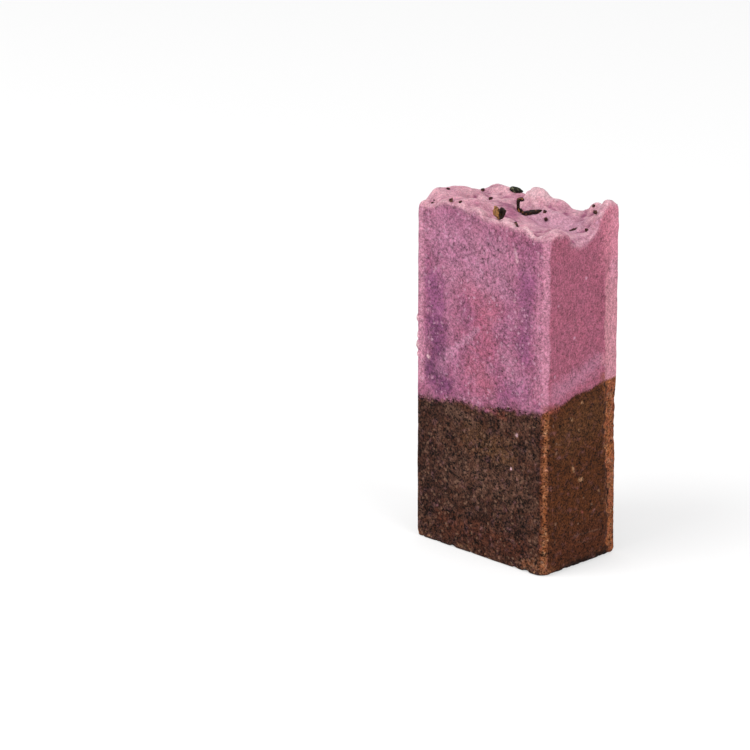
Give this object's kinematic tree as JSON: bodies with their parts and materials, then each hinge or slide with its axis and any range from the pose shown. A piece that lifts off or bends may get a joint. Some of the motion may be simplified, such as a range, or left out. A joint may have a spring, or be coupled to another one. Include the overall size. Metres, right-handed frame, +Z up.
{
  "type": "bar of soap",
  "caption": "Hand-cut bar of soap standing on end: a brown base bonded to a purple top with a rough crust and bits of dried herb.",
  "frame": {"origin": "centre of the foot, on the surface the bar stands on", "axes": "+Z up along the bar from the brown foot to the crust, X across the broad face, Y through the slice"},
  "size_m": [0.044, 0.0264, 0.092],
  "materials": {
    "purple_soap": "waxy, slightly translucent soap, mottled mauve",
    "brown_soap": "waxy, slightly translucent soap, mottled cocoa brown",
    "green_herb": "dry, dark green bud",
    "brown_herb": "dry, dark brown leaf"
  },
  "bodies": {
    "root": {"brown_base_layer": "brown_soap", "purple_top_layer": "purple_soap", "dried_bud": "green_herb", "curled_leaf": "brown_herb", "leaf_blade": "brown_herb", "folded_leaf": "brown_herb", "leaf_sliver": "brown_herb", "stem_bit": "brown_herb", "herb_fleck_01": "brown_herb", "herb_fleck_02": "brown_herb", "herb_fleck_03": "brown_herb", "herb_fleck_04": "brown_herb", "herb_fleck_05": "brown_herb", "herb_fleck_06": "brown_herb", "herb_fleck_07": "brown_herb", "herb_fleck_08": "brown_herb", "herb_fleck_09": "brown_herb", "herb_fleck_10": "brown_herb", "herb_fleck_11": "brown_herb", "herb_fleck_12": "brown_herb"}
  },
  "joints": []
}
